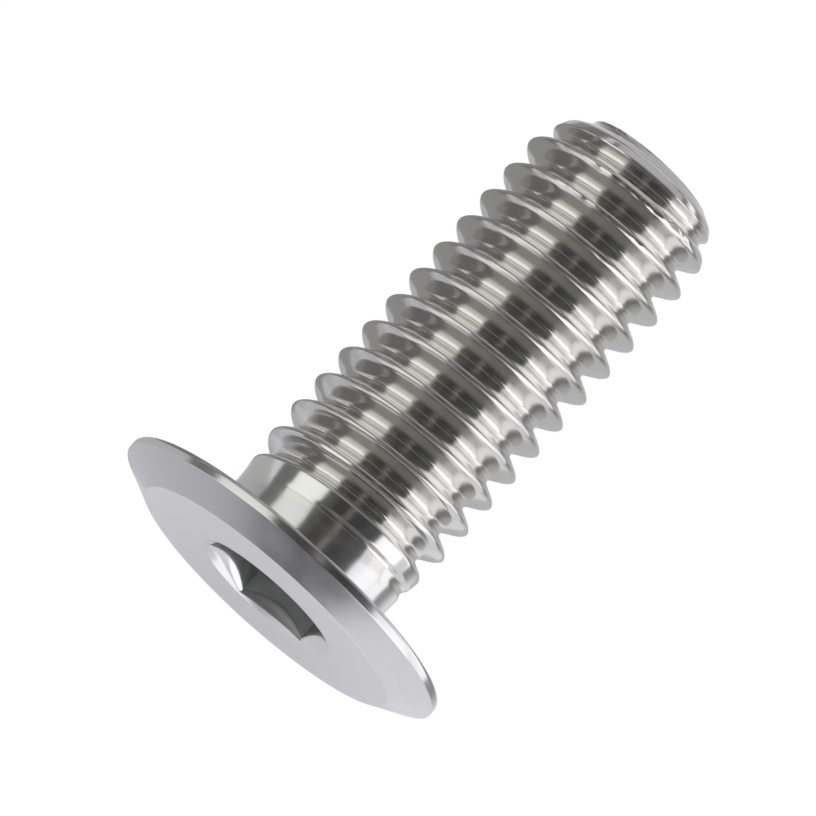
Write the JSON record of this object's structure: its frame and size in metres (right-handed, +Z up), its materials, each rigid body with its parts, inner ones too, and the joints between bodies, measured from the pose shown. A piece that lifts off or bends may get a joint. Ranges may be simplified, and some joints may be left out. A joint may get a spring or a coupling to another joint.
{
  "type": "wafer head socket screw",
  "caption": "Wafer head machine screw: thin bevelled disc head with a hexagon socket, short plain neck, coarse right-hand thread and a chamfered point.",
  "frame": {"origin": "centre of the footprint, on the surface that the screw lies on", "axes": "+Z up from that surface, +X from the head towards the point; the screw lies on the back edge of its head and on its last full crest, so its axis leans 10.6 degrees down towards the point"},
  "size_m": [0.0136, 0.0088, 0.0088],
  "materials": {
    "steel": "polished"
  },
  "bodies": {
    "root": {"screw": "steel"}
  },
  "joints": []
}
